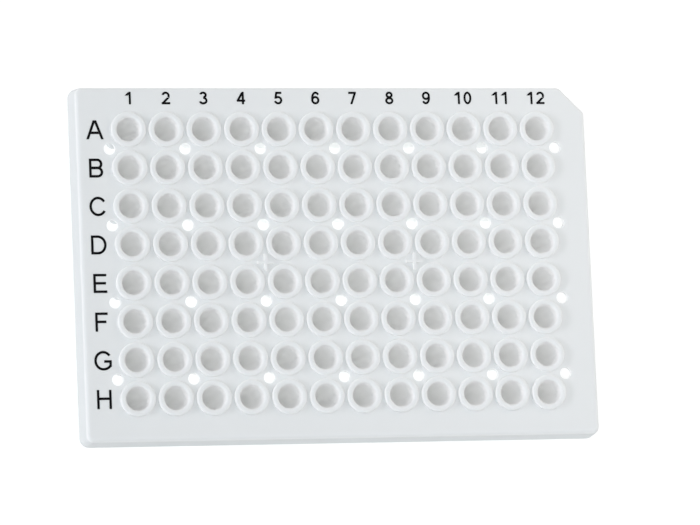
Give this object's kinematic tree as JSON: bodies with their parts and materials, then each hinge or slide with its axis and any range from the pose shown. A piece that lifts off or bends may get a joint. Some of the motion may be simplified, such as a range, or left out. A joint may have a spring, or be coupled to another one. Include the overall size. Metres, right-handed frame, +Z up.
{
  "type": "well plate",
  "caption": "Moulded well plate: a flat deck with raised rims, tapered tubes below, vent holes, a short drafted skirt and a cut corner that marks which way round it is.",
  "frame": {"origin": "centre of the plate's outline, in the plane of the tubes' feet", "axes": "+X along the numbered columns, +Y towards row A, +Z up out of the wells"},
  "size_m": [0.1248, 0.0842, 0.0203],
  "materials": {
    "plate": "white, slightly translucent moulded polypropylene with a satin sheen"
  },
  "bodies": {
    "root": {"well_plate": "plate"}
  },
  "joints": []
}
